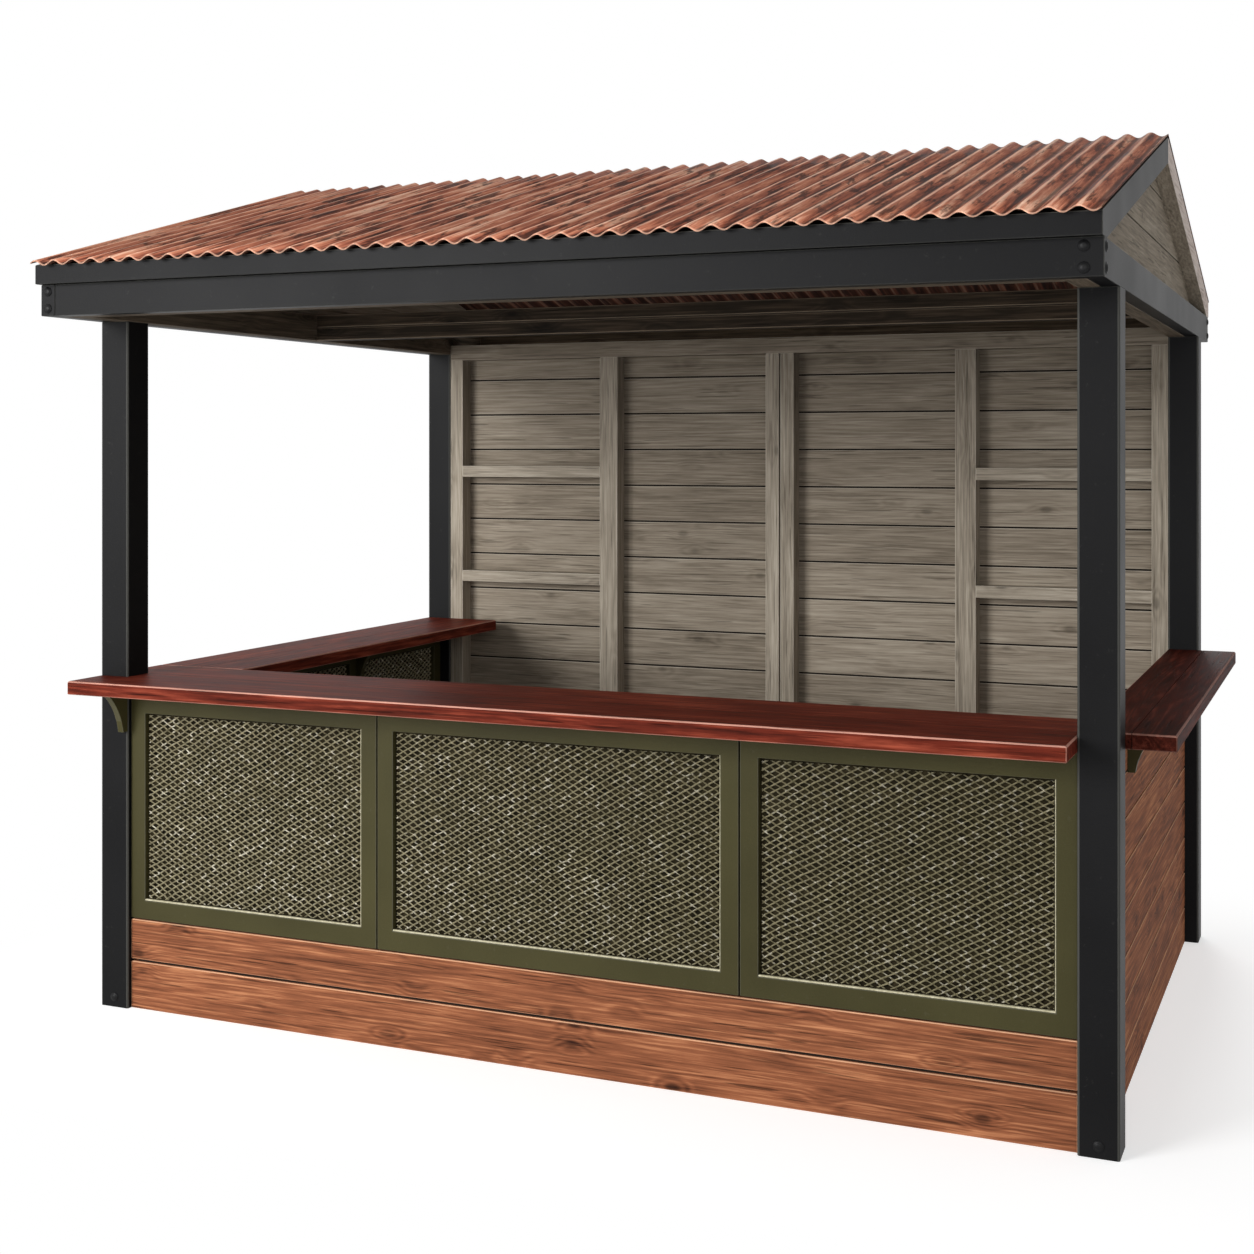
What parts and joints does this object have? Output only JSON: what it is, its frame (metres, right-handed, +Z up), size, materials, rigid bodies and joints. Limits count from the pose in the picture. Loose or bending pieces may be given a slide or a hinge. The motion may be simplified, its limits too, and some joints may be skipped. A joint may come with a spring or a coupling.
{
  "type": "wooden market stall",
  "caption": "Open market stall with a corrugated gable roof on posts, a boarded back wall, mesh-panelled and boarded half walls, and plank counters along three sides",
  "frame": {"origin": "on the ground, under the middle of the stall's box", "axes": "+X to the right along the front as a customer sees it, +Y from front to back, +Z up"},
  "size_m": [3.12, 2.71, 2.6111],
  "materials": {
    "charcoal_paint": "satin charcoal paint on squared timber",
    "grey_timber": "weathered grey-brown softwood boards, matt",
    "pale_timber": "pale weathered timber, matt",
    "roof_sheet": "weathered red-brown, streaked along the corrugations",
    "green_paint": "satin olive-green paint",
    "mesh": "olive-beige diamond mesh over dark sheet",
    "brown_boards": "oiled brown pine boards with knots",
    "counter_wood": "dark red stained hardwood, semi-gloss"
  },
  "bodies": {
    "root": {"post_front_right": "charcoal_paint", "post_front_left": "charcoal_paint", "post_back_right": "charcoal_paint", "post_back_left": "charcoal_paint", "front_beam": "charcoal_paint", "back_beam": "charcoal_paint", "right_beam": "charcoal_paint", "left_beam": "charcoal_paint", "front_eave_strip": "charcoal_paint", "back_eave_strip": "charcoal_paint", "bargeboard_front_right": "charcoal_paint", "bargeboard_front_left": "charcoal_paint", "front_rail": "grey_timber", "back_rail": "grey_timber", "right_rail": "grey_timber", "left_rail": "grey_timber", "tie_beam": "grey_timber", "ridge_beam": "grey_timber", "gable_right": "grey_timber", "gable_left": "grey_timber", "back_wall_right_boards": "grey_timber", "back_wall_left_boards": "grey_timber", "back_wall_right_studs": "grey_timber", "back_wall_left_studs": "grey_timber", "back_wall_top_plate": "grey_timber", "back_wall_shelves": "grey_timber", "bargeboard_back_right": "pale_timber", "bargeboard_back_left": "pale_timber", "roof_sheet_front": "roof_sheet", "roof_sheet_back": "roof_sheet", "front_panel_left": "green_paint", "front_panel_middle": "green_paint", "front_panel_right": "green_paint", "left_panel_1": "green_paint", "left_panel_2": "green_paint", "left_panel_3": "green_paint", "counter_brackets": "green_paint", "front_mesh": "mesh", "left_mesh": "mesh", "front_plinth": "brown_boards", "left_plinth": "brown_boards", "right_wall": "brown_boards", "front_counter": "counter_wood", "left_counter": "counter_wood", "right_counter": "counter_wood"}
  },
  "joints": []
}
